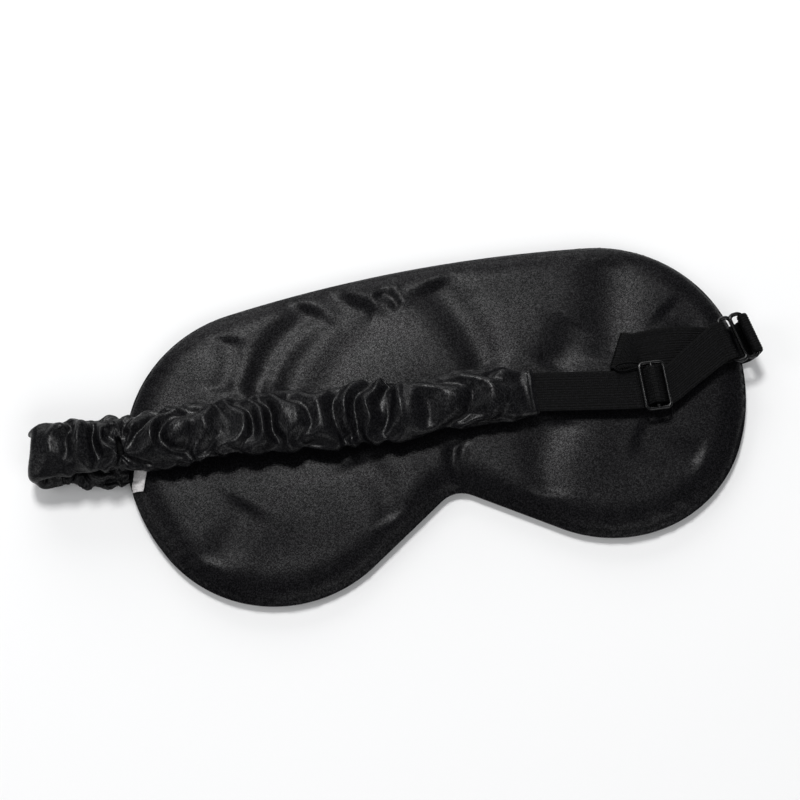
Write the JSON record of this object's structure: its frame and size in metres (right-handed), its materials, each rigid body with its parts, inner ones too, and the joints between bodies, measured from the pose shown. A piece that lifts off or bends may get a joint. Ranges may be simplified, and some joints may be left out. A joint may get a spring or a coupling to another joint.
{
  "type": "sleep eye mask",
  "caption": "Padded satin sleep mask with a nose notch, a ruched elastic strap folded over its back, and a webbing adjuster with a slider and a ring.",
  "frame": {"origin": "middle of the mask's width and height, on the surface that its front panel lies on", "axes": "+X towards the adjuster end of the strap, +Y towards the forehead edge, +Z away from the front panel, towards the strap"},
  "size_m": [0.2534, 0.11, 0.0158],
  "materials": {
    "satin": "black satin, soft sheen",
    "webbing": "matt black ribbed elastic",
    "wadding": "soft fibre wadding",
    "lining": "dense matt cloth",
    "thread": "sewing thread",
    "label_tape": "white satin ribbon, blank",
    "coated_wire": "gloss black coating"
  },
  "bodies": {
    "mask": {"front_panel": "satin", "front_wadding": "wadding", "light_block_lining": "lining", "back_wadding": "wadding", "back_panel": "satin", "rim_stitching": "thread", "care_label": "label_tape", "sleeve_lower_run": "satin", "sleeve_fold": "satin", "elastic_lower": "webbing", "anchor_tab": "webbing", "left_rim_tack": "thread", "right_rim_tack": "thread"},
    "strap": {"sleeve_upper_run": "satin", "elastic_upper": "webbing", "splice_tack": "thread", "cuff_stitching": "thread", "webbing_feed": "webbing", "webbing_return": "webbing"},
    "adjuster": {"slider": "coated_wire", "webbing_tail": "webbing", "tail_tack": "thread"},
    "ring": {"ring": "coated_wire"}
  },
  "joints": [
    {"name": "strap_lift", "type": "slide", "parent": "mask", "child": "strap", "axis": [0, 0, 1], "range_m": [0, 0.06], "deforming": ["webbing_feed", "webbing_return"]},
    {"name": "slider_slide", "type": "slide", "parent": "strap", "child": "adjuster", "axis": [-0.9883, 0.1526, 0], "range_m": [0, 0.022]},
    {"name": "ring_swivel", "type": "hinge", "parent": "mask", "child": "ring", "pos_m": [0.11006, 0.00471, 0.0103], "axis": [-0.1392, 0.9903, 0], "range_deg": [0, 36]}
  ],
  "couplings": [
    {"joint": "ring_swivel", "follows": "strap_lift", "rad_per_m": 10.18}
  ]
}
